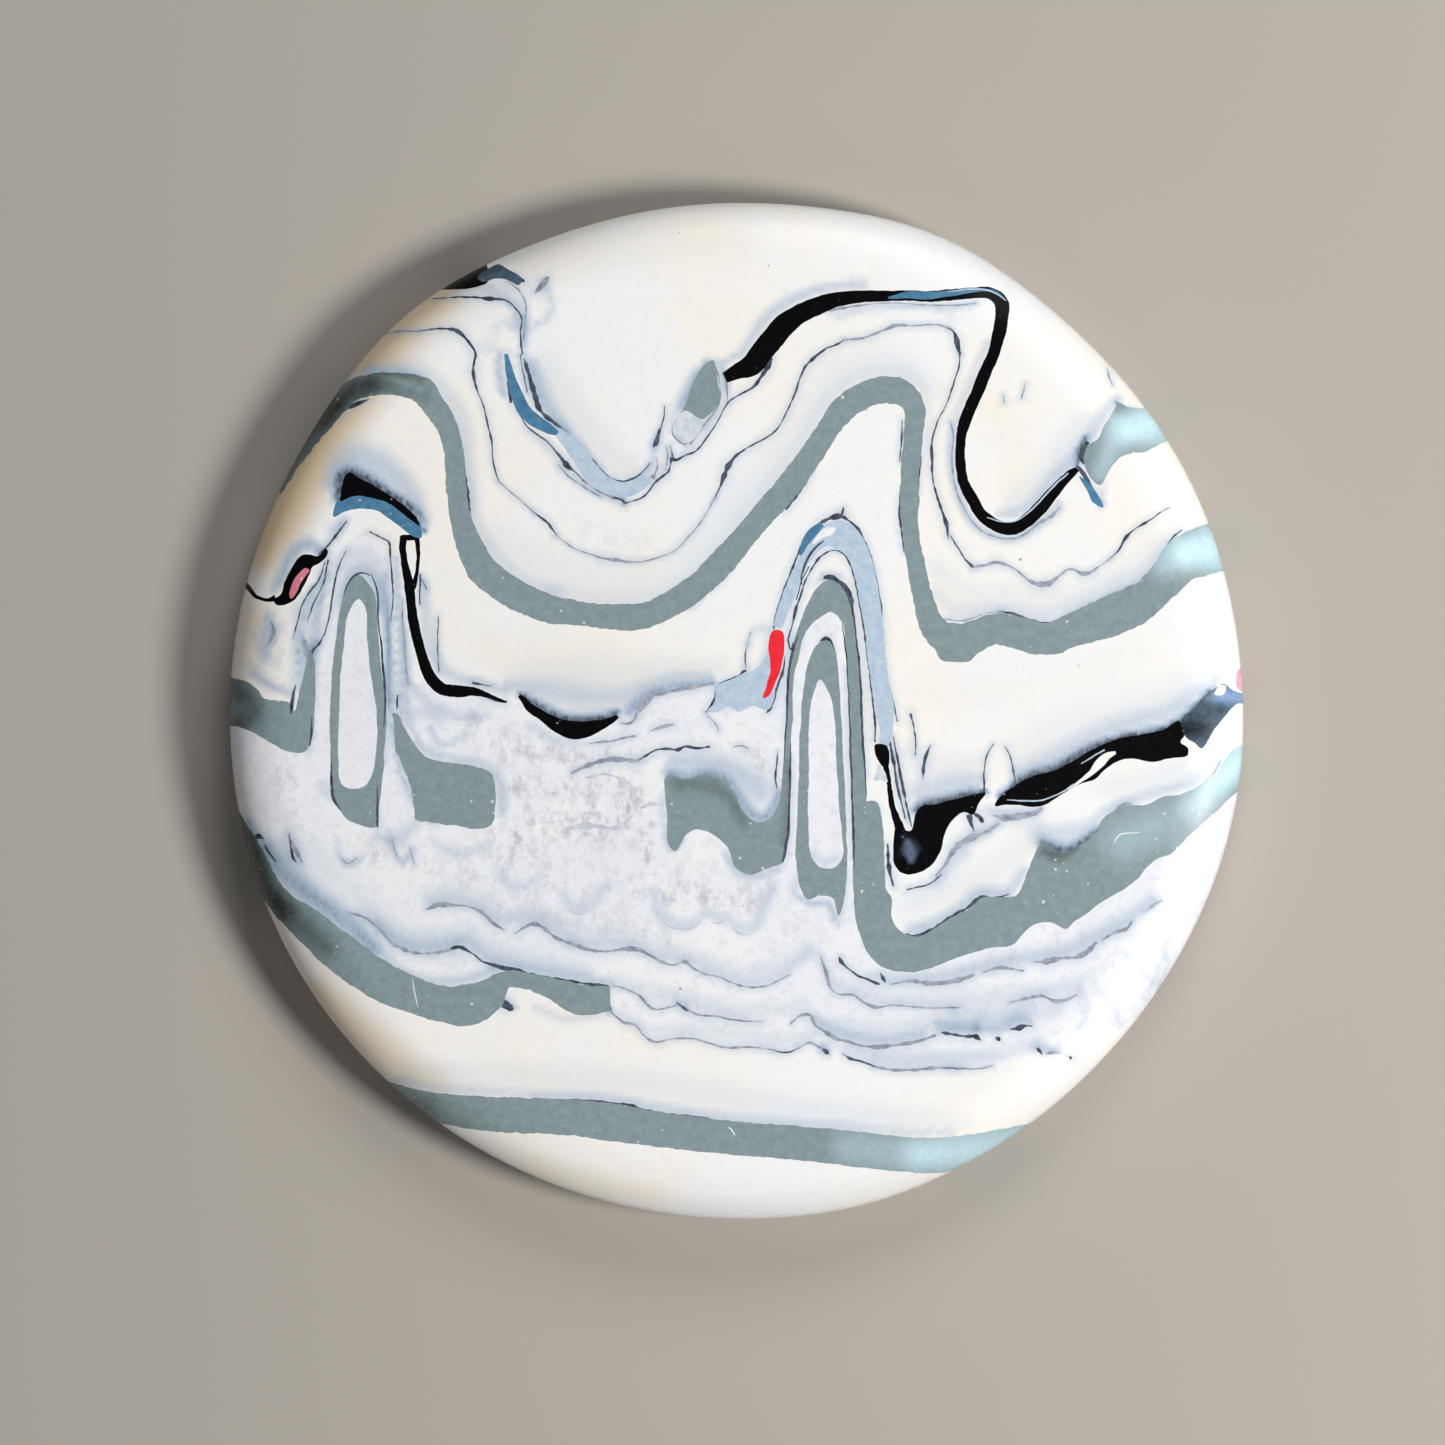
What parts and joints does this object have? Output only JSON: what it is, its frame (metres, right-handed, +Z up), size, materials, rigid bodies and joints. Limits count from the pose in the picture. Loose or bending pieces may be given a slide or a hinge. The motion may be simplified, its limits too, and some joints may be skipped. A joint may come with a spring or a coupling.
{
  "type": "marbled coaster",
  "caption": "Round flat coaster with a softly rounded rim, pressed from folded streams of white, grey, black and blue plastic with small coloured chips",
  "frame": {"origin": "centre of the flat underside, at the middle of the disc", "axes": "+Z up through the thickness; +X and +Y across the face, with the bottom grey band on the -Y side"},
  "size_m": [0.0998, 0.1, 0.009],
  "materials": {
    "white": "satin, warm ivory white",
    "cloud_white": "satin, cool mottled white",
    "grey": "satin with fine pale specks",
    "black": "satin with fine pale specks",
    "slate": "satin",
    "blue": "satin",
    "pale_blue": "satin",
    "red": "satin",
    "pink": "satin"
  },
  "bodies": {
    "root": {"black_centre_lens": "black", "black_crescent": "black", "black_left_leg": "black", "black_left_rim_vein": "black", "black_right_hook": "black", "black_right_vein": "black", "black_rim_wedge": "black", "black_upper_vein": "black", "blue_crescent": "blue", "blue_tail_wedge": "blue", "dark_blue_valley_streak": "blue", "grey_bottom_band": "grey", "grey_inner_fold": "grey", "grey_leaf": "grey", "grey_left_centre_patch": "grey", "grey_left_fold": "grey", "grey_left_rim_patch": "grey", "grey_lower_left_band": "grey", "grey_right_stream": "grey", "grey_rim_fan": "grey", "grey_upper_band": "grey", "pale_blue_arch": "pale_blue", "pale_blue_foot": "pale_blue", "pale_valley_ribbon": "pale_blue", "pink_left_chip": "pink", "pink_rim_chip": "pink", "red_chip": "red", "slate_rim_chip": "slate", "slate_vein_tip": "slate", "white_bottom_layer": "white", "white_bottom_segment": "white", "white_centre_cloud": "cloud_white", "white_foot_lobe": "white", "white_left_arch": "cloud_white", "white_left_cloud": "cloud_white", "white_left_core": "cloud_white", "white_left_rim_layer": "white", "white_lower_left_layer": "cloud_white", "white_lower_right_layer": "cloud_white", "white_middle_layer": "white", "white_right_core": "cloud_white", "white_right_fold_layer": "white", "white_right_ring": "cloud_white", "white_top_layer": "white", "white_under_stream_layer": "cloud_white", "white_under_valley_layer": "white", "white_valley_layer": "white"}
  },
  "joints": []
}
